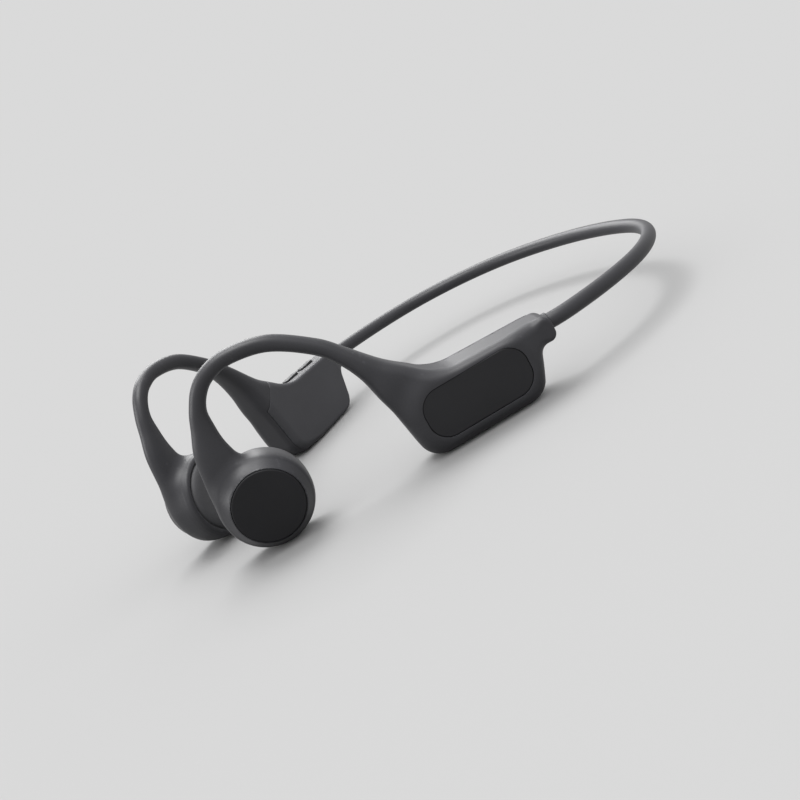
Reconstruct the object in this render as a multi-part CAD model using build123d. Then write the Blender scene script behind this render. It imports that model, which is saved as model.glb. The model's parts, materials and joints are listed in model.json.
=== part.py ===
from build123d import *
import math
import os

# Bone conduction headphones, in millimetres, +Z up, standing on the two pods and the two side housings.
# The wearer would face -Y, with the left ear on +X. The right side is the mirror of the left side.
# Each arm is drawn in its own frame: x outward from the head, y rearward from the pod's axis, z up.

# ---- driving dimensions ----
ARM_HALF_GAP = 18.3          # from the middle plane to the arm's frame, at the pod
ARM_YAW = 24.9               # the arms spread towards the back
ARM_LEAN = 2.25              # and lean outward towards the top
ORIGIN_Y = 66.87             # from the pod line back to the middle of the whole object

POD_Z = 12.2                 # height of the pod's axis
POD_R = 12.2                 # largest outer radius of the pod
POD_FRONT = 5.9              # outer rim of the pod's shell
POD_BACK = -6.0              # inner mouth of the pod's shell
POD_WALL = 1.2
DISC_R = 9.2                 # round disc on the pod's outer face
DISC_GAP = 0.3
DISC_FACE = 6.2
BUTTON_FLOOR = 1.6           # partition between the disc and the driver
BUTTON_TRAVEL = 0.35         # how far the left disc presses in
SWITCH_TOP = BUTTON_FLOOR + 2.4
POD_BORE = POD_R - POD_WALL - 0.3

DRIVER_R = 8.4               # the vibration driver between the partition and the contact pad
DRIVER_BASE = 1.2
SPRING_X = -4.2
SPRING_T = 0.3
YOKE_T = 1.0
PLATE_X = -1.8               # where the magnet meets the top plate
PAD_R = 10.3
PAD_BACK = -4.9

CASE_IN = -3.0               # inner face of the side housing
CASE_OUT = 8.8               # outer face of the side housing
COVER_T = 1.4
CASE_WALL = 1.3
CASE_OUT_WALL = 1.6
CORE_LOW = CASE_IN + COVER_T          # the space inside the housing
CORE_HIGH = CASE_OUT - CASE_OUT_WALL

PANEL_Y, PANEL_Z = 57.8, 10.6
PANEL_L, PANEL_H, PANEL_R = 29.4, 13.4, 5.6
PANEL_T = 0.7
PANEL_GAP = 0.15
PANEL_INSET = 0.1            # the panel's face lies this far below the housing's face

COLLAR_R = 2.5               # ring round the neck band where it enters the housing
COLLAR_IN, COLLAR_OUT = 79.0, 82.9
COLLAR_X, COLLAR_Z = 1.97, 15.13

BAND_D = 4.2                 # neck band's outer diameter
BAND_BACK_Y = 143.7          # rear end of the neck band's centre line
BAND_BACK_Z = 13.0
BAND_SLOPE = 0.0287          # the band rises a little towards the housings
BAND_ARCS = [(84, 17.0), (46, 62.0), (80, 17.9), (20, 18.0)]   # radius and turn, from the back to a side
FLEX_GAP = 0.4               # clearance where the band bends
BAND_TAIL = 2.6              # straight end inside the collar

WIRE_D = 0.9
LEAD_D = 0.8
WIRE_X, LEAD_X = -0.15, 1.0  # where the two cores run in the hook
CORE_RISE = 0.5              # half the height between the two cores in the band

BUTTON_L, BUTTON_W, BUTTON_UP = 6.8, 2.6, 0.7   # volume keys on the right housing's top edge
BUTTON_X = 2.9
BUTTON_Y = {"down": 60.6, "up": 70.0}
BUTTON_GAP = 0.3
BUTTON_SKIRT = CASE_WALL + 0.6        # how far a key reaches below the top edge
PRESS = 0.4
SWITCH_GAP = 0.25

BOARD_X = (CORE_LOW + 0.3, CORE_LOW + 1.1)
MIC_X, MIC_Y = (1.7, 4.1), (51.0, 54.4)
PORT_X, PORT_Y = (1.3, 4.5), (52.0, 64.0)
PORT_MID = (PORT_X[0] + PORT_X[1]) / 2
PORT_FLOOR, PORT_TOP = 0.35, 2.2
CONTACT_R, CONTACT_Y = 0.9, (56.4, 59.6)
MAGNET_R, MAGNET_Y = 1.3, (53.9, 62.1)
MAGNET_FLOOR = 0.9
LIGHT_R, LIGHT_Y = 0.6, 49.0

# Outline of the side housing in the arm's y-z plane, with a corner radius at each point.
CASE_OUTLINE = [
    ((45.4, 25.2), 0),       # top of the neck
    ((51.4, 19.4), 14),      # saddle
    ((82.4, 18.3), 2.6),     # top of the tail
    ((82.4, 11.6), 2.6),     # bottom of the tail
    ((77.6, 11.3), 3),       # concave corner under the tail
    ((73.4, 0.3), 5.5),      # rear bottom corner
    ((40.3, 0.3), 6),        # front bottom corner
    ((37.4, 17.2), 0),       # bottom of the neck
]

# Sections of the ear hook, from the pod to the neck: the two edge points in the y-z plane,
# half the thickness across that plane, and the offset of the section's centre along x.
HOOK_SECTIONS = [
    ((-10.8, 24.6), (0.0, 24.6), 3.0, 0.2),
    ((-9.7, 30.0), (-1.0, 30.0), 2.7, 0.1),
    ((-7.4, 35.6), (-1.3, 34.6), 2.3, 0.0),
    ((-5.1, 40.6), (-0.9, 39.3), 2.05, 0.0),
    ((-1.7, 45.6), (1.4, 42.9), 2.0, 0.0),
    ((3.0, 48.8), (4.6, 45.0), 2.0, 0.0),
    ((9.9, 50.0), (9.9, 45.9), 2.05, 0.0),
    ((20.2, 47.9), (18.8, 43.9), 2.2, 0.1),
    ((30.3, 41.0), (27.7, 37.8), 2.8, 0.5),
    ((35.4, 35.6), (32.1, 32.4), 3.6, 1.0),
    ((40.4, 30.0), (35.4, 25.4), 4.6, 1.7),
    ((45.4, 25.2), (37.4, 17.2), 5.4, 2.4),
]
HOOK_CORE_ENDS = (-5.5, 21.6), (41.0, 21.8)   # where the hook's wire starts in the pod and ends at the neck


# ---- helpers, all in the arm's frame ----
def rod(radius, x_low, x_high, y=0.0, z=POD_Z):
    """A disc or rod along x."""
    place = Location((x_low, y, z), (0, 90, 0))
    return place * Cylinder(radius, x_high - x_low, align=(Align.CENTER, Align.CENTER, Align.MIN))


def ring(outer, inner, x_low, x_high):
    """A ring round the pod's axis."""
    return rod(outer, x_low, x_high) - rod(inner, x_low - 1, x_high + 1)


def block(x, y, z):
    """A box from three (low, high) pairs."""
    size = [high - low for low, high in (x, y, z)]
    centre = [(high + low) / 2 for low, high in (x, y, z)]
    return Pos(*centre) * Box(*size)


def spun(profile):
    """A solid turned round the pod's axis from (x, radius) points."""
    face = make_face(Polyline(*[(x, POD_Z + r) for x, r in profile], close=True))
    return revolve(Plane.XZ * face, axis=Axis((0, 0, POD_Z), (1, 0, 0)))


def slab(face, x_low, x_high):
    """A y-z outline made solid between two x values."""
    return extrude(Plane.YZ.offset(x_low) * face, amount=x_high - x_low)


# ---- the pod and the driver inside it ----
def pod_root():
    """The foot of the ear hook, which widens into the pod's shell."""
    first, last, half, offset = HOOK_SECTIONS[0]
    mid = (first[0] + last[0]) / 2
    wide = (last[0] - first[0]) / 2
    levels = [(first[1], wide, half), (20.0, wide + 0.5, half + 0.5), (15.0, wide - 0.6, half + 0.9)]
    faces = []
    for z, half_y, half_x in levels:
        plane = Plane(origin=(offset, mid, z), x_dir=(1, 0, 0), z_dir=(0, 0, 1))
        faces.append(plane * Ellipse(half_x, half_y))
    return loft(faces)


def pod_shell():
    outside = spun([
        (POD_BACK, 0), (POD_BACK, 11.2), (-5.6, 11.8), (-4.6, 12.15), (-2.4, POD_R), (-0.4, POD_R),
        (1.8, 11.9), (3.6, 11.4), (5.0, 10.7), (POD_FRONT, 9.9), (POD_FRONT, 0),
    ])
    shell = outside + pod_root()
    shell -= rod(POD_BORE, POD_BACK - 1, BUTTON_FLOOR)
    shell -= rod(DISC_R + DISC_GAP, BUTTON_FLOOR + 1.0, POD_FRONT + 1)
    shell -= rod(LEAD_D, BUTTON_FLOOR - 1, BUTTON_FLOOR + 2, z=POD_Z + 7)
    return shell - hook_core(WIRE_D / 2, WIRE_X) - hook_core(LEAD_D / 2, LEAD_X)


def driver_bracket():
    return ring(POD_BORE, DRIVER_R, -0.8, 0.2)


def driver_yoke():
    cup = rod(DRIVER_R, SPRING_X + SPRING_T, DRIVER_BASE)
    return cup - rod(DRIVER_R - 0.9, SPRING_X - 1, DRIVER_BASE - YOKE_T)


def driver_magnet():
    return rod(6.0, PLATE_X, DRIVER_BASE - YOKE_T)


def driver_top_plate():
    return rod(6.2, PLATE_X - 1.0, PLATE_X)


def voice_coil():
    return ring(7.2, 6.6, SPRING_X + SPRING_T, PLATE_X + 0.6)


def driver_spring():
    """A thin leaf spring with three curved slots."""
    leaf = rod(DRIVER_R, SPRING_X, SPRING_X + SPRING_T)
    for start in (0, 120, 240):
        arc = CenterArc((0, 0), 5.0, start, 95)
        slot = SlotArc(arc, 0.7)
        place = Plane(origin=(SPRING_X - 0.1, 0, POD_Z), x_dir=(0, 1, 0), z_dir=(1, 0, 0))
        leaf -= extrude(place * slot, amount=0.5)
    return leaf


def contact_pad():
    """The face that rests on the cheekbone, rounded at its edge, with a post that reaches the leaf spring."""
    return spun([
        (-7.2, 0), (-7.2, 8.4), (-7.0, 9.3), (-6.4, 10.0), (-5.6, PAD_R), (PAD_BACK, PAD_R),
        (PAD_BACK, 3.0), (SPRING_X, 3.0), (SPRING_X, 0),
    ])


def pad_surround():
    return ring(POD_BORE, PAD_R, -5.7, PAD_BACK)


def disc_cap(stem_end):
    """The round disc, with a skirt inside the recess and a short stem behind it."""
    cap = rod(DISC_R, DISC_FACE - 1.3, DISC_FACE)
    cap = fillet(cap.edges().filter_by(GeomType.CIRCLE).sort_by(Axis.X)[-1:], 0.35)
    cap += ring(DISC_R - 0.2, DISC_R - 0.9, 3.6, DISC_FACE - 1.3)
    return cap + rod(1.5, stem_end, DISC_FACE - 1.3)


def button_board():
    return rod(5.0, BUTTON_FLOOR + 1.0, BUTTON_FLOOR + 1.5)


def button_switch():
    """A tact switch: a square body with a round plunger."""
    base = BUTTON_FLOOR + 1.5
    body = block((base, base + 0.6), (-1.9, 1.9), (POD_Z - 1.6, POD_Z + 1.6))
    return body + rod(0.9, base + 0.6, SWITCH_TOP)


# ---- the side housing ----
def case_face():
    points, radii = zip(*CASE_OUTLINE)
    return make_face(FilletPolyline(*points, radius=radii, close=True))


def outer_rim(solid, x):
    """The edges of a slab's face at x, without the one that meets the hook."""
    neck = [CASE_OUTLINE[0][0], CASE_OUTLINE[-1][0]]
    middle = (x, (neck[0][0] + neck[1][0]) / 2, (neck[0][1] + neck[1][1]) / 2)
    edges = [e for e in solid.edges() if abs(e.center().X - x) < 1e-3]
    return [e for e in edges if (e.center() - Vector(*middle)).length > 0.5]


def panel_face(grow=0.0):
    return Pos(PANEL_Y, PANEL_Z) * RectangleRounded(PANEL_L + grow, PANEL_H + grow, PANEL_R + grow / 2)


def housing_shell(side):
    face = case_face()
    split = CASE_IN + COVER_T
    shell = slab(face, split, CASE_OUT)
    shell = fillet(outer_rim(shell, CASE_OUT), 2.4)
    shell -= slab(offset(face, -CASE_WALL), split - 1, CASE_OUT - CASE_OUT_WALL)
    shell -= slab(panel_face(), CASE_OUT - PANEL_T - PANEL_INSET, CASE_OUT + 1)
    shell -= collar_rod(COLLAR_R)
    shell -= lead_hole()
    if side == "right":
        for y in BUTTON_Y.values():
            shell -= button_key(y, BUTTON_GAP, 15, 22)
        shell -= block(MIC_X, MIC_Y, (16, 24))
        shell -= block(PORT_X, PORT_Y, (-1, PORT_TOP))
        shell -= Pos(PORT_MID, LIGHT_Y, 1.0) * Cylinder(LIGHT_R, 6)
    return shell


def lead_hole():
    """The way from the hook into the housing, square to the neck."""
    (y0, z0), (y1, z1) = CASE_OUTLINE[0][0], CASE_OUTLINE[-1][0]
    neck = Plane(origin=(LEAD_X + 0.5, (y0 + y1) / 2, (z0 + z1) / 2), x_dir=(1, 0, 0), z_dir=(0, 1, -1))
    return neck * Cylinder(0.7, 5)


def inner_cover():
    plate = slab(case_face(), CASE_IN, CASE_IN + COVER_T)
    return fillet(outer_rim(plate, CASE_IN), 1.0) - collar_rod(COLLAR_R)


def side_panel():
    face = CASE_OUT - PANEL_INSET
    panel = slab(panel_face(-2 * PANEL_GAP), face - PANEL_T, face)
    return fillet(panel.faces().sort_by(Axis.X)[-1].edges(), 0.25)


def collar_rod(radius, low=COLLAR_IN, high=COLLAR_OUT):
    place = Location((COLLAR_X, low, COLLAR_Z), (-90, 0, 0))
    return place * Cylinder(radius, high - low, align=(Align.CENTER, Align.CENTER, Align.MIN))


def band_collar():
    collar = collar_rod(COLLAR_R)
    outer = collar.edges().filter_by(GeomType.CIRCLE).sort_by(Axis.Y)[-1]
    collar = fillet([outer], 0.3)
    return collar - collar_rod(BAND_D / 2 + 0.05, COLLAR_IN - 1, COLLAR_OUT + 1)


# ---- the ear hook ----
def middle(first, last):
    return ((first[0] + last[0]) / 2, (first[1] + last[1]) / 2)


def hook_path():
    """A smooth line through the middles of the hook's sections."""
    start, end = HOOK_CORE_ENDS
    inner = [middle(first, last) for first, last, half, offset_x in HOOK_SECTIONS[1:-1]]
    return Spline(start, *inner, end)


def hook_core(radius, x):
    """A round core that follows the hook, set off from its middle along x."""
    path = Plane.YZ.offset(x) * hook_path()
    return sweep(Plane(origin=path @ 0, z_dir=path % 0) * Circle(radius), path=path)


def ear_hook():
    faces = []
    for first, last, half, offset_x in HOOK_SECTIONS:
        width = math.dist(first, last)
        along = ((last[0] - first[0]) / width, (last[1] - first[1]) / width)
        centre = (offset_x, *middle(first, last))
        plane = Plane(origin=centre, x_dir=(1, 0, 0), z_dir=(0, -along[1], along[0]))
        faces.append(plane * Ellipse(half, width / 2))
    hook = loft(faces)
    return hook - hook_core(WIRE_D / 2, WIRE_X) - hook_core(LEAD_D / 2, LEAD_X)


# ---- inside the left housing ----
def battery():
    cell = block((CORE_LOW + 0.2, CORE_HIGH - 3.6), (44.2, 70.4), (2.7, 15.4))
    return fillet(cell.edges().filter_by(Axis.Y), 0.8)


def battery_board():
    board = block((CORE_LOW + 0.4, CORE_HIGH - 3.8), (51.0, 66.0), (15.6, 16.2))
    return board + block((1.4, 3.6), (54.0, 57.0), (16.2, 16.8))


# ---- inside the right housing ----
def case_top(y):
    """Height of the housing's top edge between the saddle and the tail."""
    (y0, z0), (y1, z1) = CASE_OUTLINE[1][0], CASE_OUTLINE[2][0]
    return z0 + (z1 - z0) * (y - y0) / (y1 - y0)


def button_key(y, gap, low, high):
    """The upright block of one volume key, with a gap all round."""
    half_x, half_y = BUTTON_W / 2 + gap, BUTTON_L / 2 + gap
    key = block((BUTTON_X - half_x, BUTTON_X + half_x), (y - half_y, y + half_y), (low, high))
    return fillet(key.edges().filter_by(Axis.Z), 0.9 + gap)


def volume_button(y):
    """A key that stands out of the housing's top edge."""
    top = case_top(y)
    key = button_key(y, 0, top - BUTTON_SKIRT, top + BUTTON_UP)
    return fillet(key.faces().sort_by(Axis.Z)[-1].edges(), 0.35)


def volume_switch(y):
    low = case_top(y) - BUTTON_SKIRT - SWITCH_GAP - PRESS
    body = block((BUTTON_X - 1.3, BUTTON_X + 1.3), (y - 1.7, y + 1.7), (low - 1.0, low))
    return body + block((BUTTON_X - 0.5, BUTTON_X + 0.5), (y - 0.7, y + 0.7), (low, low + 0.12))


def main_board():
    board = block(BOARD_X, (44.0, 72.0), (3.0, 14.6))
    return fillet(board.edges().filter_by(Axis.X), 1.2)


def chip(y, z, wide, tall, thick):
    return block((BOARD_X[1], BOARD_X[1] + thick), (y - wide / 2, y + wide / 2), (z - tall / 2, z + tall / 2))


def microphone():
    x = (MIC_X[0] + 0.1, MIC_X[1] - 0.1)
    return block(x, (MIC_Y[0] + 0.2, MIC_Y[1] - 0.2), (17.0, 18.2))


def microphone_mesh():
    return block(MIC_X, MIC_Y, (19.2, 19.5))


def upright_pins(radius, low, high, places):
    """Separate round pieces in a row along the arm."""
    floor = (Align.CENTER, Align.CENTER, Align.MIN)
    return Compound([Pos(PORT_MID, y, low) * Cylinder(radius, high - low, align=floor) for y in places])


def charging_contacts():
    return upright_pins(CONTACT_R, PORT_FLOOR, PORT_TOP + 0.2, CONTACT_Y)


def charging_magnets():
    return upright_pins(MAGNET_R, MAGNET_FLOOR, PORT_TOP + 0.3, MAGNET_Y)


def charging_port():
    body = block(PORT_X, PORT_Y, (PORT_FLOOR, PORT_TOP))
    body -= upright_pins(CONTACT_R, PORT_FLOOR - 1, PORT_TOP + 1, CONTACT_Y)
    return body - upright_pins(MAGNET_R, MAGNET_FLOOR, PORT_TOP + 1, MAGNET_Y)


def status_light():
    return upright_pins(LIGHT_R, PORT_FLOOR, PORT_TOP - 0.2, [LIGHT_Y])


# ---- the neck band ----
def band_plane():
    """The plane the band's centre line lies in, with its origin at the middle of the back."""
    return Plane(origin=(0, BAND_BACK_Y, BAND_BACK_Z), x_dir=(1, 0, 0), z_dir=(0, BAND_SLOPE, 1))


def band_path(side):
    """The centre line of the back piece, or of a side piece from the back to the housing."""
    radius, turn = BAND_ARCS[0]
    gap_turn = math.degrees(FLEX_GAP / radius)
    if side == "back":
        start = (-radius * math.sin(math.radians(turn)), -radius * (1 - math.cos(math.radians(turn))))
        heading = (math.cos(math.radians(turn)), math.sin(math.radians(turn)))
        return [JernArc(start, heading, radius, -(2 * turn - gap_turn))]
    point, heading = (0, 0), (1, 0)
    edges = []
    for radius, turn in BAND_ARCS:
        arc = JernArc(point, heading, radius, -turn)
        edges.append(arc)
        point, heading = arc @ 1, arc % 1
    return edges[1:] + [Line(point, point + heading * BAND_TAIL)]


def band_core(side, radius, rise):
    """A round core along the band, raised above its centre line."""
    plane = band_plane()
    path = Curve() + [plane * edge for edge in band_path(side)]
    section = Plane(origin=path @ 0, x_dir=plane.z_dir, z_dir=path % 0)
    return sweep(section * Pos(rise, 0) * Circle(radius), path=path)


def band_sleeve(side):
    sleeve = band_core(side, BAND_D / 2, 0)
    return sleeve - band_core(side, WIRE_D / 2, CORE_RISE) - band_core(side, LEAD_D / 2, -CORE_RISE)


# ---- placing and writing ----
def on_arm(shape, side):
    """Moves a piece from the arm's frame to its side of the object."""
    root = Location((ARM_HALF_GAP, -ORIGIN_Y, 0), (0, 0, -ARM_YAW))
    placed = root * Location((0, 0, 0), (0, ARM_LEAN, 0)) * shape
    return placed if side == "left" else mirror(placed, about=Plane.YZ)


def on_band(shape, side):
    placed = Pos(0, -ORIGIN_Y, 0) * shape
    return mirror(placed, about=Plane.YZ) if side == "right" else placed


BOTH_ARMS = {
    "ear_hook": ear_hook,
    "hook_wire": lambda: hook_core(WIRE_D / 2, WIRE_X),
    "hook_leads": lambda: hook_core(LEAD_D / 2, LEAD_X),
    "pod_shell": pod_shell,
    "contact_pad": contact_pad,
    "pad_surround": pad_surround,
    "driver_bracket": driver_bracket,
    "driver_yoke": driver_yoke,
    "driver_magnet": driver_magnet,
    "driver_top_plate": driver_top_plate,
    "voice_coil": voice_coil,
    "driver_spring": driver_spring,
    "inner_cover": inner_cover,
    "side_panel": side_panel,
    "band_collar": band_collar,
}
LEFT_ARM = {
    "left_housing_shell": lambda: housing_shell("left"),
    "multifunction_button": lambda: disc_cap(SWITCH_TOP + BUTTON_TRAVEL + 0.05),
    "button_board": button_board,
    "button_switch": button_switch,
    "battery": battery,
    "battery_board": battery_board,
}
RIGHT_ARM = {
    "right_housing_shell": lambda: housing_shell("right"),
    "right_pod_cap": lambda: disc_cap(BUTTON_FLOOR + 1.0),
    "main_board": main_board,
    "bluetooth_chip": lambda: chip(52.0, 9.5, 5.0, 5.0, 0.9),
    "volume_up_button": lambda: volume_button(BUTTON_Y["up"]),
    "volume_down_button": lambda: volume_button(BUTTON_Y["down"]),
    "volume_up_switch": lambda: volume_switch(BUTTON_Y["up"]),
    "volume_down_switch": lambda: volume_switch(BUTTON_Y["down"]),
    "microphone": microphone,
    "microphone_mesh": microphone_mesh,
    "charging_port": charging_port,
    "charging_contacts": charging_contacts,
    "charging_magnets": charging_magnets,
    "status_light": status_light,
}
BAND = {
    "band_sleeve": band_sleeve,
    "band_wire": lambda side: band_core(side, WIRE_D / 2, CORE_RISE),
    "band_leads": lambda side: band_core(side, LEAD_D / 2, -CORE_RISE),
}


def main():
    os.makedirs("parts", exist_ok=True)
    pieces = {}
    for name, make in BOTH_ARMS.items():
        shape = make()
        for side in ("left", "right"):
            pieces[f"{side}_{name}"] = on_arm(shape, side)
    for side, table in (("left", LEFT_ARM), ("right", RIGHT_ARM)):
        for name, make in table.items():
            pieces[name] = on_arm(make(), side)
    for name, make in BAND.items():
        pieces[f"back_{name}"] = on_band(make("back"), "back")
        for side in ("left", "right"):
            pieces[f"{side}_{name}"] = on_band(make("side"), side)
    for name, shape in pieces.items():
        export_step(shape, f"parts/{name}.step")


main()
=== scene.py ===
import json
import math

import bpy
import numpy as np
from mathutils import Matrix, Vector


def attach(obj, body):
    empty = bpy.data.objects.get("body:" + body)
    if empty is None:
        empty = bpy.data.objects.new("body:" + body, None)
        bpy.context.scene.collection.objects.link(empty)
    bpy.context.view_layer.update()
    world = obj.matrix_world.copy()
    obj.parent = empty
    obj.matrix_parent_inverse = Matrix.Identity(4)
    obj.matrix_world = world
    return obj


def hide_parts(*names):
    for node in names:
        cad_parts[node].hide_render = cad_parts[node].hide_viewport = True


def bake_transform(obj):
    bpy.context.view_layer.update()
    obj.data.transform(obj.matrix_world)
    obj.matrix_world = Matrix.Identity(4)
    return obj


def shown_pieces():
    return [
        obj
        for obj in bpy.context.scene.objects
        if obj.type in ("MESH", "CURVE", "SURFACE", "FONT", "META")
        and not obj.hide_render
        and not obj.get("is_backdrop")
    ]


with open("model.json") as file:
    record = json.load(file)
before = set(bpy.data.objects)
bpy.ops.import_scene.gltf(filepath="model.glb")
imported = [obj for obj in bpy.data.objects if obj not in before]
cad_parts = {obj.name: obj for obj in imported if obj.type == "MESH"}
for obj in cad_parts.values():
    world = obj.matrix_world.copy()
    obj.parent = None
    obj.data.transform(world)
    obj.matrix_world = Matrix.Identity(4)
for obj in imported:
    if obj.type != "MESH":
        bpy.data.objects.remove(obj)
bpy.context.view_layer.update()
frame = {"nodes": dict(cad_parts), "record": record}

# Bone conduction headphones. Lengths here are millimetres in the arm's frame (x outward, y rearward, z up)
# until to_row() turns them into metres in the shared frame.
ARM_HALF_GAP, ORIGIN_Y = 18.3, 66.87
ARM_YAW, ARM_LEAN = math.radians(24.9), math.radians(2.25)

POD_Z = 12.2
POD_PROFILE = (   # x and radius round the pod's axis, from its inner face to its outer face
    (-6.0, 0), (-6.0, 11.0), (-5.85, 11.4), (-5.5, 11.75), (-4.6, 12.05), (-3.4, 12.18), (-2.0, 12.2),
    (-0.4, 12.19), (0.6, 12.13), (1.5, 12.0), (2.2, 11.82), (2.65, 11.6), (2.95, 11.38), (3.2, 11.18),
    (4.4, 10.43), (5.4, 9.83), (5.7, 9.66), (5.88, 9.52), (5.9, 9.45), (5.9, 0),
)
PAD_BACK = -4.9
PAD_PROFILE = ((-7.2, 0), (-7.2, 2.5), (-7.18, 5.0), (-7.12, 6.8), (-7.0, 8.2), (-6.75, 9.1), (-6.35, 9.75),
               (-5.8, 10.15), (-5.3, 10.28), (-4.95, 10.3))
DISC_RECESS_R, DISC_RECESS_FLOOR = 9.32, 2.6
PAD_RECESS_R, PAD_RECESS_FLOOR = 10.75, -4.85

CASE_IN, CASE_OUT = -3.0, 8.8
CASE_CROWN, CROWN_REACH = 1.7, 4.2              # how far the outer face falls round the panel, and over what
OUTER_EDGE_R, TAIL_EDGE_R = 2.6, 0.9
COVER_SPLIT = -1.6                              # where the inner cover meets the housing's shell
SEAM_HALF_GAP, SEAM_EASE = 0.05, 0.3
PANEL_Y, PANEL_Z, PANEL_L, PANEL_H, PANEL_R = 57.8, 10.6, 29.4, 13.4, 5.6
PANEL_DEPTH, PANEL_FIT = 0.8, 0.06              # of the panel's recess, and how far inside its outline it is
COLLAR_X, COLLAR_Z, COLLAR_R, COLLAR_Y = 1.97, 15.13, 2.54, 78.9
KEY_X, KEY_YS, KEY_HALF, KEY_SLOT_R = 2.9, (60.6, 70.0), (1.6, 3.7), 1.2
MIC_Y, MIC_HALF, MIC_SLOT_R = 51.0, (1.0, 3.2), 0.9
TOP_CUT_FLOOR = 15.2                            # cuts in the top edge reach no lower
PORT_Y, PORT_HALF, PORT_R, PORT_ROOF = 58.0, (1.65, 6.05), 0.4, 2.2
LIGHT_Y, LIGHT_R, LIGHT_ROOF = 49.0, 0.65, 2.0

BAND_R = 2.1
BAND_BACK_Y, BAND_BACK_Z, BAND_SLOPE = 143.7, 13.0, 0.0287
BAND_ARCS = ((84, 17.0), (46, 62.0), (80, 17.9), (20, 18.0))   # radius and turn in degrees, from the back
BAND_TAIL = 2.6
CORE_WIRE_R, CORE_LEADS_R, CORE_RISE = 0.45, 0.4, 0.5

NECK = ((45.4, 25.2), (37.4, 17.2))             # the line in y and z where the hook meets the housing
HOOK = (   # y and z of the two edge points, half thickness, x offset, squareness
    (-10.2, 15.0, -0.6, 15.0, 3.6, 0.2, 2.0), (-11.2, 20.0, 0.4, 20.0, 3.4, 0.2, 2.0),
    (-10.8, 24.6, 0.0, 24.6, 3.0, 0.2, 2.0), (-9.7, 30.0, -1.0, 30.0, 2.7, 0.1, 2.0),
    (-7.4, 35.6, -1.3, 34.6, 2.3, 0.0, 2.0), (-5.1, 40.6, -0.9, 39.3, 2.05, 0.0, 2.0),
    (-1.7, 45.6, 1.4, 42.9, 2.0, 0.0, 2.0), (3.0, 48.8, 4.6, 45.0, 2.0, 0.0, 2.0),
    (9.9, 50.0, 9.9, 45.9, 2.05, 0.0, 2.05), (20.2, 47.9, 18.8, 43.9, 2.2, 0.1, 2.05),
    (30.3, 41.0, 27.7, 37.8, 2.8, 0.5, 2.15), (35.4, 35.6, 32.1, 32.4, 3.6, 1.0, 2.3),
    (40.4, 30.0, 35.4, 25.4, 4.6, 1.7, 2.5), (45.4, 25.2, 37.4, 17.2, 5.4, 2.4, 2.8),
    (49.0, 22.0, 38.6, 10.8, 5.6, 2.6, 3.2), (53.0, 19.6, 39.8, 4.0, 5.7, 2.7, 3.4),
)
CASE_CORNERS = (   # y, z and corner radius
    (35.4, 35.6, 0), (40.4, 30.0, 0), (45.4, 25.2, 0), (51.4, 19.4, 14), (82.4, 18.3, 2.6),
    (82.4, 11.6, 2.2), (77.6, 11.3, 3), (73.4, 0.3, 5.5), (40.3, 0.3, 6), (37.4, 17.2, 0),
    (35.4, 25.4, 0), (32.1, 32.4, 0),
)


# ---- from the arm's frame to the shared frame ----
def arm_axes():
    cd, sd, cl, sl = math.cos(ARM_YAW), math.sin(ARM_YAW), math.cos(ARM_LEAN), math.sin(ARM_LEAN)
    return np.array([[cl * cd, -cl * sd, -sl], [sd, cd, 0], [sl * cd, -sl * sd, cl]])


AXES = arm_axes()
SIGN = {"left": 1, "right": -1}


def to_row(points, side="left"):
    """Arm frame in mm to the shared frame in metres."""
    row = (np.asarray(points, float) @ AXES + np.array([ARM_HALF_GAP, -ORIGIN_Y, 0])) / 1000
    row[..., 0] *= SIGN[side]
    return row


# ---- meshes ----
def add_mesh(name, points, faces, flip=False, sharp=35):
    """A mesh object from points in metres, smooth but for edges over sharp degrees."""
    mesh = bpy.data.meshes.new(name)
    if flip:
        faces = [tuple(reversed(f)) for f in faces]
    mesh.from_pydata([tuple(p) for p in points], [], [tuple(int(i) for i in f) for f in faces])
    mesh.validate()
    mesh.shade_smooth()
    mesh.set_sharp_from_angle(angle=math.radians(sharp))
    obj = bpy.data.objects.new(name, mesh)
    bpy.context.scene.collection.objects.link(obj)
    return obj


def spline_points(points, steps):
    """Catmull-Rom through rows of numbers, with the ends held."""
    p = np.asarray(points, float)
    p = np.vstack([2 * p[0] - p[1], p, 2 * p[-1] - p[-2]])
    out = []
    for i in range(1, len(p) - 2):
        a, b, c, d = p[i - 1:i + 3]
        for t in np.linspace(0, 1, steps, endpoint=False):
            out.append(0.5 * (2 * b + (c - a) * t + (2 * a - 5 * b + 4 * c - d) * t * t
                              + (3 * b - 3 * c + d - a) * t ** 3))
    return np.array(out + [p[-2]])


def lathe(name, profile, side):
    """A closed turned piece round the pod's axis, from (x, radius) points, first and last on the axis."""
    around = 128
    profile = np.asarray(profile, float)
    angles = np.linspace(0, 2 * math.pi, around, endpoint=False)
    points = [(profile[0][0], 0, POD_Z)]
    for x, r in profile[1:-1]:
        points += [(x, r * math.cos(a), POD_Z + r * math.sin(a)) for a in angles]
    points.append((profile[-1][0], 0, POD_Z))
    rings = len(profile) - 2
    faces = []
    for j in range(around):
        k = (j + 1) % around
        faces.append((0, 1 + k, 1 + j))
        for i in range(rings - 1):
            a, b = 1 + i * around, 1 + (i + 1) * around
            faces.append((a + j, a + k, b + k, b + j))
        last = 1 + (rings - 1) * around
        faces.append((last + j, last + k, len(points) - 1))
    return add_mesh(name, to_row(points, side), faces, flip=side == "right", sharp=50)


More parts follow.
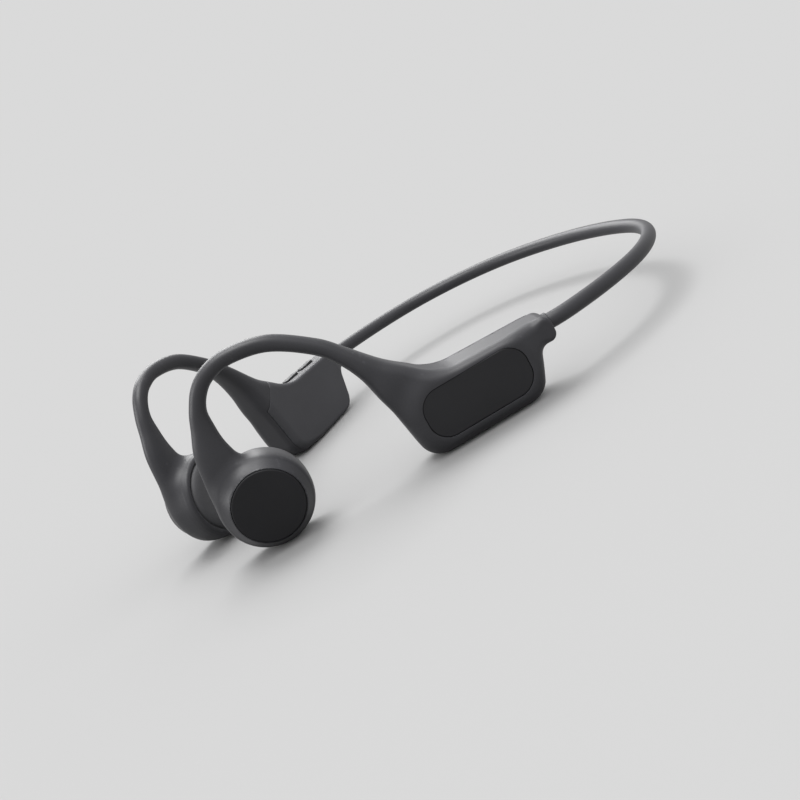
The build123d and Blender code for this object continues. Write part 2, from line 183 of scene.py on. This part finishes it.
# ---- distance fields: negative inside, in mm ----
class Table:
    """Functions of two coordinates, kept on a fine grid and read back between its points."""

    def __init__(self, low, high, step, make):
        self.low, self.step = np.array(low, float), step
        counts = [int(round((b - a) / step)) + 1 for a, b in zip(low, high)]
        first, second = (a + step * np.arange(n) for a, n in zip(low, counts))
        grid = np.meshgrid(first, second, indexing="ij")
        made = make(grid[0].ravel(), grid[1].ravel())
        self.values = [m.reshape(counts) for m in made]
        self.top = np.array(counts) - 1.001

    def __call__(self, a, b):
        fa = np.clip((a - self.low[0]) / self.step, 0, self.top[0])
        fb = np.clip((b - self.low[1]) / self.step, 0, self.top[1])
        i, j = fa.astype(int), fb.astype(int)
        u, v = fa - i, fb - j
        return [m[i, j] * (1 - u) * (1 - v) + m[i + 1, j] * u * (1 - v)
                + m[i, j + 1] * (1 - u) * v + m[i + 1, j + 1] * u * v for m in self.values]


def nearest_on_line(line, a, b):
    """Distance to a polyline and the place along it, counted in its points."""
    best, place = np.full(a.shape, 1e9), np.zeros(a.shape)
    for i in range(len(line) - 1):
        (p, q), (dp, dq) = line[i], line[i + 1] - line[i]
        t = np.clip(((a - p) * dp + (b - q) * dq) / (dp * dp + dq * dq), 0, 1)
        d = np.hypot(a - p - t * dp, b - q - t * dq)
        near = d < best
        best[near], place[near] = d[near], (i + t)[near]
    return best, place


def polygon_distance(corners, a, b):
    """Signed distance to a closed outline."""
    closed = np.vstack([corners, corners[:1]])
    distance, _ = nearest_on_line(closed, a, b)
    inside = np.zeros(a.shape, bool)
    for (p0, q0), (p1, q1) in zip(closed[:-1], closed[1:]):
        if q0 != q1:
            crosses = (q0 > b) != (q1 > b)
            inside ^= crosses & (a < p0 + (p1 - p0) * (b - q0) / (q1 - q0))
    return np.where(inside, -distance, distance)


def round_corners(corners):
    """An outline from (a, b, radius) corners, with each arc as short runs."""
    out = []
    n = len(corners)
    for i, (a, b, r) in enumerate(corners):
        p = np.array([a, b], float)
        if not r:
            out.append(p)
            continue
        to_last = np.array(corners[i - 1][:2]) - p
        to_next = np.array(corners[(i + 1) % n][:2]) - p
        to_last, to_next = to_last / np.linalg.norm(to_last), to_next / np.linalg.norm(to_next)
        half = math.acos(np.clip(to_last @ to_next, -1, 1)) / 2
        cut = r / math.tan(half)
        centre = p + (to_last + to_next) / np.linalg.norm(to_last + to_next) * r / math.sin(half)
        start, end = p + to_last * cut - centre, p + to_next * cut - centre
        a0 = math.atan2(start[1], start[0])
        turn = (math.atan2(end[1], end[0]) - a0 + math.pi) % (2 * math.pi) - math.pi
        for t in np.linspace(0, 1, 14):
            out.append(centre + r * np.array([math.cos(a0 + turn * t), math.sin(a0 + turn * t)]))
    return np.array(out)


def join(a, b, k):
    """The union of two fields, with a fillet of about k where they meet."""
    h = np.clip(0.5 + 0.5 * (b - a) / k, 0, 1)
    return b + (a - b) * h - k * h * (1 - h)


def cut(a, b, k=0.12):
    """Field a without b, with its new edge eased by about k."""
    return -join(-a, b, k)


def rounded_box(points, centre, half, radius):
    q = [np.abs(p - c) - h + radius for p, c, h in zip(points, centre, half)]
    outside = np.sqrt(sum(np.maximum(v, 0) ** 2 for v in q))
    return outside + np.minimum(np.maximum.reduce(q), 0) - radius


def hook_table():
    samples = spline_points(HOOK, 14)
    first, last = samples[:, 0:2], samples[:, 2:4]
    line = (first + last) / 2
    wide = np.linalg.norm(last - first, axis=1) / 2
    counts = np.arange(len(line))

    def make(y, z):
        distance, place = nearest_on_line(line, y, z)
        return [distance, *(np.interp(place, counts, v) for v in (wide, *samples[:, 4:7].T))]

    return Table((-16, -2), (86, 54), 0.2, make)


HOOK_TABLE = hook_table()
CASE_LINE = round_corners(CASE_CORNERS)
CASE_TABLE = Table((-16, -2), (86, 54), 0.15, lambda y, z: [polygon_distance(CASE_LINE, y, z)])
POD_TABLE = Table((-9, 0), (9, 30), 0.06, lambda x, r: [polygon_distance(np.array(POD_PROFILE, float), x, r)])


def hook_field(x, y, z):
    distance, wide, thick, offset, power = HOOK_TABLE(y, z)
    px, pd = np.abs(x - offset) / thick, distance / wide
    px, pd = np.maximum(px, 1e-6), np.maximum(pd, 1e-6)
    reach = (px ** power + pd ** power) ** (1 / power)
    slope = np.hypot(px ** (power - 1) / thick, pd ** (power - 1) / wide) * reach ** (1 - power)
    return (reach - 1) / np.maximum(slope, 1e-6)


def panel_distance(y, z):
    q = [np.abs(y - PANEL_Y) - PANEL_L / 2 + PANEL_R, np.abs(z - PANEL_Z) - PANEL_H / 2 + PANEL_R]
    outside = np.hypot(np.maximum(q[0], 0), np.maximum(q[1], 0))
    return outside + np.minimum(np.maximum(*q), 0) - PANEL_R


def case_field(x, y, z):
    """The side housing with its cover: a crowned outer face and rounded edges."""
    outline, = CASE_TABLE(y, z)
    away = np.maximum(panel_distance(y, z) - 0.3, 0)
    face = CASE_OUT - CASE_CROWN * (1 - np.exp(-(away / CROWN_REACH) ** 2))
    back = CASE_IN + 1.3 * ease(76.5, 82.4, y)          # the tail is thinner
    inner_edge = 3.4 - 2.5 * ease(40.0, 54.0, y)        # rounder towards the hook
    outer_edge = OUTER_EDGE_R - (OUTER_EDGE_R - TAIL_EDGE_R) * ease(77.0, 81.8, y)
    fields = []
    for radius, over in ((outer_edge, x - face), (inner_edge, back - x)):
        a, b = outline + radius, over + radius
        fields.append(np.minimum(np.maximum(a, b), 0) + np.hypot(np.maximum(a, 0), np.maximum(b, 0)) - radius)
    return np.maximum(*fields)


def ease(low, high, value):
    """0 below low, 1 above high, and a smooth step between."""
    t = np.clip((value - low) / (high - low), 0, 1)
    return t * t * (3 - 2 * t)


def past_neck(y, z):
    """Distance behind the line where the hook meets the housing."""
    (y0, z0), (y1, z1) = NECK
    return -((y - y0) * (z1 - z0) - (z - z0) * (y1 - y0)) / math.hypot(y1 - y0, z1 - z0)


def body_field(x, y, z):
    """Pod, ear hook and housing as one smooth skin."""
    pod, = POD_TABLE(x, np.hypot(y, z - POD_Z))
    share = ease(-7.0, 3.0, past_neck(y, z))            # the hook turns into the housing over 10 mm
    arm = hook_field(x, y, z) * (1 - share) + case_field(x, y, z) * share
    return join(pod, arm, 3.4)


def cover_region(x, y, z, gap):
    """Where the inner cover is, grown by gap: inward of the split and behind the neck line."""
    return np.maximum(x - COVER_SPLIT - gap, -past_neck(y, z) - gap)


def collar_field(x, y, z):
    """The hole for the band's collar in the housing's tail."""
    return np.maximum(np.hypot(x - COLLAR_X, z - COLLAR_Z) - COLLAR_R, COLLAR_Y - y)


def mic_slot(x, y, z):
    return np.maximum(rounded_box((x, y), (KEY_X, MIC_Y), MIC_HALF, MIC_SLOT_R), TOP_CUT_FLOOR - z)


def skin_field(side):
    """One side's skin, without the inner cover and with its recesses cut."""
    def field(p):
        x, y, z = p.T
        body = body_field(x, y, z)
        d = cut(body, cover_region(x, y, z, SEAM_HALF_GAP), SEAM_EASE)
        radius = np.hypot(y, z - POD_Z)
        d = cut(d, np.maximum(radius - DISC_RECESS_R, DISC_RECESS_FLOOR - x), 0.1)
        d = cut(d, np.maximum(radius - PAD_RECESS_R, x - PAD_RECESS_FLOOR), 0.15)
        d = cut(d, np.maximum(panel_distance(y, z) + PANEL_FIT, CASE_OUT - PANEL_DEPTH - x), 0.1)
        d = cut(d, collar_field(x, y, z), 0.1)
        if side == "right":
            for key_y in KEY_YS:
                slot = rounded_box((x, y), (KEY_X, key_y), KEY_HALF, KEY_SLOT_R)
                d = cut(d, np.maximum(slot, TOP_CUT_FLOOR - z), 0.15)
            d = cut(d, np.maximum(mic_slot(x, y, z), -body - 0.5))
            port = rounded_box((x, y), (KEY_X, PORT_Y), PORT_HALF, PORT_R)
            d = cut(d, np.maximum(port, z - PORT_ROOF))
            d = cut(d, np.maximum(np.hypot(x - KEY_X, y - LIGHT_Y) - LIGHT_R, z - LIGHT_ROOF), 0.1)
        return d
    return field


def grille_field(p):
    """The microphone's cover: a thin plate let in just below the surface, with rows of holes."""
    x, y, z = p.T
    body = body_field(x, y, z)
    plate = np.maximum.reduce([mic_slot(x, y, z) + 0.06, body + 0.2, -body - 0.46])
    half_pitch, hole_r, rows_end = 0.33, 0.19, 2.6
    across = np.abs(x - KEY_X) - 0.36
    along = (y - MIC_Y + half_pitch) % (2 * half_pitch) - half_pitch
    return cut(plate, np.maximum(np.hypot(across, along) - hole_r, np.abs(y - MIC_Y) - rows_end), 0.04)


def cover_field(p):
    """The inner cover: the part of the body inward of the split."""
    x, y, z = p.T
    d = -join(-body_field(x, y, z), -cover_region(x, y, z, -SEAM_HALF_GAP), SEAM_EASE)
    return cut(d, collar_field(x, y, z), 0.1)


# ---- a mesh from a field, with its sharp edges kept ----
def contour(field, low, high, step):
    """Dual contouring: one vertex for each grid cell that the surface crosses. Gives vertices and faces."""
    axes = [np.arange(a, b + step, step) for a, b in zip(low, high)]
    counts = [len(a) for a in axes]
    values = np.empty(counts)
    ys, zs = np.meshgrid(axes[1], axes[2], indexing="ij")
    for i, x in enumerate(axes[0]):
        values[i] = field(np.column_stack([np.full(ys.size, x), ys.ravel(), zs.ravel()])).reshape(ys.shape)
    inside = values < 0
    cells = np.array(counts) - 1
    strides = np.array([cells[1] * cells[2], cells[2], 1])
    quads, corner_cells, crossings = [], [], []
    for axis in range(3):
        a, b = (axis + 1) % 3, (axis + 2) % 3
        sl0, sl1 = [slice(None)] * 3, [slice(None)] * 3
        sl0[axis], sl1[axis] = slice(0, -1), slice(1, None)
        s0, s1 = inside[tuple(sl0)], inside[tuple(sl1)]
        at = np.argwhere(s0 != s1)
        keep = (at[:, a] > 0) & (at[:, b] > 0) & (at[:, a] < cells[a]) & (at[:, b] < cells[b])
        at = at[keep]
        start_in = inside[tuple(at.T)]
        lo = np.column_stack([axes[k][at[:, k]] for k in range(3)])
        hi = lo.copy()
        hi[:, axis] += step
        for _ in range(9):      # halve each crossed edge towards the surface
            mid = (lo + hi) / 2
            same = (field(mid) < 0) == start_in
            lo[same], hi[~same] = mid[same], mid[~same]
        crossings.append((lo + hi) / 2)
        around = []
        for da, db in ((-1, -1), (0, -1), (0, 0), (-1, 0)):
            cell = at.copy()
            cell[:, a] += da
            cell[:, b] += db
            around.append(cell @ strides)
        around = np.column_stack(around)
        corner_cells.append(around)
        quads.append(np.where(start_in[:, None], around, around[:, ::-1]))
    points, near = np.vstack(crossings), np.vstack(corner_cells)
    h = 0.02
    normals = np.column_stack([field(points + h * e) - field(points - h * e) for e in np.eye(3)])
    normals /= np.maximum(np.linalg.norm(normals, axis=1, keepdims=True), 1e-9)
    used, index = np.unique(near, return_inverse=True)
    index = index.reshape(near.shape)
    n = len(used)
    flat, rows = index.ravel(), np.repeat(np.arange(len(points)), 4)
    count = np.bincount(flat, minlength=n).astype(float)
    mean = np.column_stack([np.bincount(flat, points[rows, k], n) for k in range(3)]) / count[:, None]
    offset = np.einsum("ij,ij->i", normals[rows], points[rows] - mean[flat])
    right = np.column_stack([np.bincount(flat, normals[rows, k] * offset, n) for k in range(3)])
    square = np.empty((n, 3, 3))
    for i in range(3):
        for j in range(3):
            square[:, i, j] = np.bincount(flat, normals[rows, i] * normals[rows, j], n)
        square[:, i, i] += 0.05     # keeps flat cells near their middle
    shift = np.linalg.solve(square, right[:, :, None])[:, :, 0]
    length = np.linalg.norm(shift, axis=1, keepdims=True)
    vertices = mean + shift * np.minimum(1, 0.6 * step / np.maximum(length, 1e-9))
    faces = np.searchsorted(used, np.vstack(quads))
    return vertices, faces


STEP = 0.3


def arm_skin(side):
    points, faces = contour(skin_field(side), (-7.0, -13.6, -0.9), (9.3, 83.9, 51.1), STEP)
    return add_mesh(f"{side}_arm_skin", to_row(points, side), faces, flip=side == "right", sharp=32)


def arm_cover(side):
    points, faces = contour(cover_field, (-4.0, 35.6, -0.9), (-0.6, 83.9, 26.4), STEP)
    return add_mesh(f"{side}_cover_plate", to_row(points, side), faces, flip=side == "right", sharp=32)


def mic_grille():
    points, faces = contour(grille_field, (1.8, 47.5, 17.6), (4.0, 54.5, 24.0), 0.09)
    return add_mesh("microphone_grille", to_row(points, "right"), faces, flip=True)


# ---- the neck band ----
def band_line(step):
    """Points and headings along one half of the band's centre line, from the middle of the back."""
    out = [(0.0, 0.0, 0.0)]
    x, y, heading = 0.0, 0.0, 0.0
    for radius, turn in BAND_ARCS:
        n = max(2, int(math.radians(turn) * radius / step))
        cx, cy = x + radius * math.sin(heading), y - radius * math.cos(heading)
        for i in range(1, n + 1):
            a = heading - math.radians(turn) * i / n
            out.append((cx - radius * math.sin(a), cy + radius * math.cos(a), a))
        x, y, heading = out[-1]
    for i in range(1, 5):
        s = BAND_TAIL * i / 4
        out.append((x + s * math.cos(heading), y + s * math.sin(heading), heading))
    return np.array(out)


def band_tube(name, side, radius, rise, around=40):
    """A tube along the band, from the middle of the back into the housing's collar."""
    up = np.array([0, BAND_SLOPE, 1]) / math.hypot(BAND_SLOPE, 1)
    ahead = np.array([0, 1, -BAND_SLOPE]) / math.hypot(BAND_SLOPE, 1)
    across = np.array([1.0, 0, 0])
    points, faces = [], []
    line = band_line(0.7)
    for x, y, heading in line:
        centre = np.array([0, BAND_BACK_Y - ORIGIN_Y, BAND_BACK_Z]) + x * across + y * ahead + rise * up
        normal = -math.sin(heading) * across + math.cos(heading) * ahead
        for a in np.linspace(0, 2 * math.pi, around, endpoint=False):
            points.append((centre + radius * (math.cos(a) * normal + math.sin(a) * up)) / 1000)
    for i in range(len(line) - 1):
        for j in range(around):
            k = (j + 1) % around
            faces.append((i * around + j, i * around + k, (i + 1) * around + k, (i + 1) * around + j))
    faces.append(tuple(reversed(range(around))))
    faces.append(tuple(range((len(line) - 1) * around, len(line) * around)))
    points = np.array(points)
    s = SIGN[side]
    points[:, 0] *= s
    obj = add_mesh(name, points, faces, flip=side == "left", sharp=50)
    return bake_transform(obj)


# ---- materials ----
MOTTLE, TONE, ROUGH_SPREAD = 60, 0.12, 0.06       # the slow drift's noise scale, and how much it changes


def material(name, colour, rough, grain=900, bump=0.08, depth=0.00003, metal=0.0, specular=0.5,
             sheen=0.0, coat=0.0, stretch=(1, 1, 1), wear=0.0):
    """A surface with a drifting tone, uneven roughness and a fine grain, all from noise in object space."""
    mat = bpy.data.materials.new(name)
    mat.use_nodes = True
    tree = mat.node_tree
    shader = tree.nodes["Principled BSDF"]
    shader.inputs["Metallic"].default_value = metal
    shader.inputs["Specular IOR Level"].default_value = specular
    shader.inputs["Sheen Weight"].default_value = sheen
    shader.inputs["Sheen Roughness"].default_value = 0.4
    shader.inputs["Coat Weight"].default_value = coat
    shader.inputs["Coat Roughness"].default_value = 0.12

    def link(a, out, b, into):
        tree.links.new(a.outputs[out], b.inputs[into])

    place = tree.nodes.new("ShaderNodeTexCoord")
    scale = tree.nodes.new("ShaderNodeMapping")
    scale.inputs["Scale"].default_value = stretch
    link(place, "Object", scale, "Vector")

    def noise(size, detail, roughness=0.5):
        made = tree.nodes.new("ShaderNodeTexNoise")
        made.inputs["Scale"].default_value = size
        made.inputs["Detail"].default_value = detail
        made.inputs["Roughness"].default_value = roughness
        link(scale, "Vector", made, "Vector")
        return made

    drift, fine = noise(MOTTLE, 3), noise(grain, 2, 0.6)
    ramp = tree.nodes.new("ShaderNodeValToRGB")
    for element, place_at, factor in zip(ramp.color_ramp.elements, (0.3, 0.7), (1 - TONE, 1 + TONE)):
        element.position = place_at
        element.color = (*(c * factor for c in colour), 1)
    link(drift, "Fac", ramp, "Fac")
    speck = tree.nodes.new("ShaderNodeMix")
    speck.data_type, speck.blend_type = "RGBA", "MULTIPLY"
    speck.inputs["Factor"].default_value = 0.35
    grey = tree.nodes.new("ShaderNodeValToRGB")
    for element, place_at, value in zip(grey.color_ramp.elements, (0.35, 0.65), (0.72, 1.0)):
        element.position = place_at
        element.color = (value, value, value, 1)
    link(fine, "Fac", grey, "Fac")
    link(ramp, "Color", speck, 6)
    link(grey, "Color", speck, 7)
    last = speck
    if wear:
        edge = tree.nodes.new("ShaderNodeNewGeometry")
        worn = tree.nodes.new("ShaderNodeMapRange")
        worn.inputs["From Min"].default_value = 0.53
        worn.inputs["From Max"].default_value = 0.62
        worn.inputs["To Min"].default_value = 0.0
        worn.inputs["To Max"].default_value = wear
        link(edge, "Pointiness", worn, "Value")
        pale = tree.nodes.new("ShaderNodeMix")
        pale.data_type = "RGBA"
        pale.inputs[7].default_value = (*(min(1, c * 2.2) for c in colour), 1)
        link(worn, "Result", pale, "Factor")
        link(last, 2, pale, 6)
        last = pale
    link(last, 2, shader, "Base Color")
    spread = tree.nodes.new("ShaderNodeMapRange")
    spread.inputs["To Min"].default_value = max(0.03, rough - ROUGH_SPREAD)
    spread.inputs["To Max"].default_value = min(1, rough + ROUGH_SPREAD)
    link(drift, "Fac", spread, "Value")
    link(spread, "Result", shader, "Roughness")
    bumps = tree.nodes.new("ShaderNodeBump")
    bumps.inputs["Strength"].default_value = bump
    bumps.inputs["Distance"].default_value = depth
    link(fine, "Fac", bumps, "Height")
    link(bumps, "Normal", shader, "Normal")
    return mat


MOULDING = dict(colour=(0.024, 0.024, 0.027), rough=0.45, grain=2600, bump=0.25, specular=0.30, wear=0.25)
FINISHES = {
    "soft_skin": MOULDING,
    "shell": MOULDING,
    "cover": dict(colour=(0.036, 0.036, 0.040), rough=0.52, grain=3200, bump=0.35, specular=0.3, wear=0.15),
    "panel": dict(colour=(0.0145, 0.0145, 0.0160), rough=0.55, grain=4200, bump=0.2, specular=0.22),
    "disc": dict(colour=(0.0105, 0.0105, 0.0118), rough=0.58, grain=4200, bump=0.2, specular=0.18),
    "pad": dict(colour=(0.040, 0.040, 0.043), rough=0.62, grain=1800, bump=0.3, specular=0.35, sheen=0.1),
    "surround": dict(colour=(0.012, 0.012, 0.013), rough=0.7, grain=1800, bump=0.3),
    "collar": dict(colour=(0.022, 0.022, 0.025), rough=0.5, grain=2600, bump=0.25, specular=0.3),
    "key": dict(colour=(0.020, 0.020, 0.022), rough=0.44, grain=2600, bump=0.2, specular=0.3, wear=0.3),
    "titanium": dict(colour=(0.55, 0.53, 0.5), rough=0.32, metal=1.0, stretch=(1, 8, 8)),
    "lead_jacket": dict(colour=(0.25, 0.03, 0.03), rough=0.4),
    "bracket": dict(colour=(0.1, 0.1, 0.1), rough=0.55),
    "steel": dict(colour=(0.5, 0.5, 0.52), rough=0.3, metal=1.0),
    "spring_steel": dict(colour=(0.62, 0.6, 0.56), rough=0.28, metal=1.0, stretch=(1, 6, 1)),
    "magnet": dict(colour=(0.6, 0.6, 0.62), rough=0.18, metal=1.0),
    "copper": dict(colour=(0.72, 0.35, 0.15), rough=0.3, metal=1.0, stretch=(10, 1, 1)),
    "board": dict(colour=(0.02, 0.12, 0.06), rough=0.35, coat=0.4),
    "chip": dict(colour=(0.02, 0.02, 0.02), rough=0.45),
    "switch": dict(colour=(0.6, 0.6, 0.58), rough=0.4),
    "cell": dict(colour=(0.65, 0.66, 0.68), rough=0.35, metal=0.9, bump=0.4),
    "can": dict(colour=(0.6, 0.6, 0.6), rough=0.25, metal=1.0),
    "mesh": dict(colour=(0.03, 0.03, 0.03), rough=0.4, metal=0.6, grain=6000, bump=0.8, depth=0.0001),
    "port": dict(colour=(0.015, 0.015, 0.016), rough=0.22, coat=0.3),
    "gold": dict(colour=(0.83, 0.62, 0.25), rough=0.2, metal=1.0),
    "light": dict(colour=(0.7, 0.7, 0.75), rough=0.3, coat=0.2),
}
MATERIALS = {name: material(f"{name}_finish", **look) for name, look in FINISHES.items()}


def dress(obj, slot):
    obj.data.materials.clear()
    obj.data.materials.append(MATERIALS[slot])
    return obj


for row in frame["record"]["subparts"]:
    node = frame["nodes"][row["node"]]
    for holder in node.material_slots:
        holder.link = "OBJECT"
        holder.material = MATERIALS[row["material_slot"]]

# ---- the pieces ----
for side in ("left", "right"):
    skin = dress(arm_skin(side), "shell")
    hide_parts(f"{side}_pod_shell", f"{side}_ear_hook", f"{side}_housing_shell")
    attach(skin, f"{side}_arm")

    cover = dress(arm_cover(side), "cover")
    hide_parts(f"{side}_inner_cover")
    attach(cover, f"{side}_arm")

    front = spline_points(PAD_PROFILE, 4)
    rear = (PAD_BACK, PAD_PROFILE[-1][1]), (PAD_BACK, 0)
    pad = dress(lathe(f"{side}_pad_cushion", [*front, *rear], side), "pad")
    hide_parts(f"{side}_contact_pad")
    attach(pad, f"{side}_arm")

    sleeve = dress(band_tube(f"{side}_band_skin", side, BAND_R, 0), "soft_skin")
    core = band_tube(f"{side}_band_core_wire", side, CORE_WIRE_R, CORE_RISE, around=16)
    wire = dress(core, "titanium")
    pair = band_tube(f"{side}_band_core_leads", side, CORE_LEADS_R, -CORE_RISE, around=16)
    leads = dress(pair, "lead_jacket")
    for piece, kind in ((sleeve, "sleeve"), (wire, "wire"), (leads, "leads")):
        nodes = [f"{side}_band_{kind}"]
        if side == "left":
            nodes.append(f"back_band_{kind}")
        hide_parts(*nodes)

grille = dress(mic_grille(), "mesh")
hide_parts("microphone_mesh")
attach(grille, "right_arm")


# ---- floor, light and camera ----
FLOOR_R, FLOOR_Z = 5, -0.0002
# The studio's light and the floor's colour are matched, so that the far floor has the background's tone.
STUDIO_LIGHT, FLOOR_TONE = 0.70, 0.623


def pale_floor():
    mesh = bpy.data.meshes.new("floor")
    around = 64
    turns = [2 * math.pi * i / around for i in range(around)]
    points = [(FLOOR_R * math.cos(a), FLOOR_R * math.sin(a), FLOOR_Z) for a in turns]
    mesh.from_pydata(points, [], [tuple(range(around))])
    floor = bpy.data.objects.new("floor", mesh)
    bpy.context.scene.collection.objects.link(floor)
    mat = bpy.data.materials.new("floor_pale")
    mat.use_nodes = True
    shader = mat.node_tree.nodes["Principled BSDF"]
    shader.inputs["Base Color"].default_value = (FLOOR_TONE, FLOOR_TONE, FLOOR_TONE, 1)
    shader.inputs["Roughness"].default_value = 1.0
    shader.inputs["Specular IOR Level"].default_value = 0.0
    mesh.materials.append(mat)
    floor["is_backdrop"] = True


def area_light(name, at, size, power, lit):
    """A soft light aimed at the object, which lights only the objects in lit."""
    lamp_data = bpy.data.lights.new(name, "AREA")
    lamp_data.size = size
    lamp_data.energy = power
    lamp = bpy.data.objects.new(name, lamp_data)
    lamp.location = at
    lamp.rotation_mode = "QUATERNION"
    lamp.rotation_quaternion = (Vector((0, 0, 0.02)) - Vector(at)).to_track_quat("-Z", "Y")
    lamp.visible_camera = False
    lamp.light_linking.receiver_collection = lit
    bpy.context.scene.collection.objects.link(lamp)


pale_floor()
product = bpy.data.collections.new("product")
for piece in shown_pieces():
    product.objects.link(piece)
area_light("key", (-0.66, 0.16, 0.62), 0.7, 10.0, product)
area_light("rim", (-0.35, -0.75, 0.45), 0.5, 5.0, product)
area_light("top", (0.22, -0.12, 0.85), 0.5, 11.0, product)
sun = bpy.data.lights.new("sun", "SUN")
sun.energy, sun.angle = 1.5, math.radians(40)
sun_lamp = bpy.data.objects.new("sun", sun)
sun_lamp.rotation_euler = (math.radians(-14), math.radians(-24), 0)
bpy.context.scene.collection.objects.link(sun_lamp)

world = bpy.data.worlds.new("studio")
world.use_nodes = True
world.node_tree.nodes["Background"].inputs["Color"].default_value = (1.0, 1.0, 1.0, 1)
world.node_tree.nodes["Background"].inputs["Strength"].default_value = STUDIO_LIGHT
bpy.context.scene.world = world

CAMERA_AT = Vector((0.28803, -0.17287, 0.09206))
CAMERA_RIGHT = Vector((0.53710, 0.69604, -0.47650)).normalized()
CAMERA_UP = Vector((0.05170, 0.53666, 0.84221)).normalized()
data = bpy.data.cameras.new("camera")
data.sensor_width = 36
data.lens = 54.19
data.clip_start, data.clip_end = 0.01, 20
camera = bpy.data.objects.new("camera", data)
back = CAMERA_RIGHT.cross(CAMERA_UP)
basis = Matrix((CAMERA_RIGHT, back.cross(CAMERA_RIGHT), back)).transposed().to_4x4()
camera.matrix_world = Matrix.Translation(CAMERA_AT) @ basis
bpy.context.scene.collection.objects.link(camera)
bpy.context.scene.camera = camera
bpy.context.scene.view_settings.view_transform = "Standard"
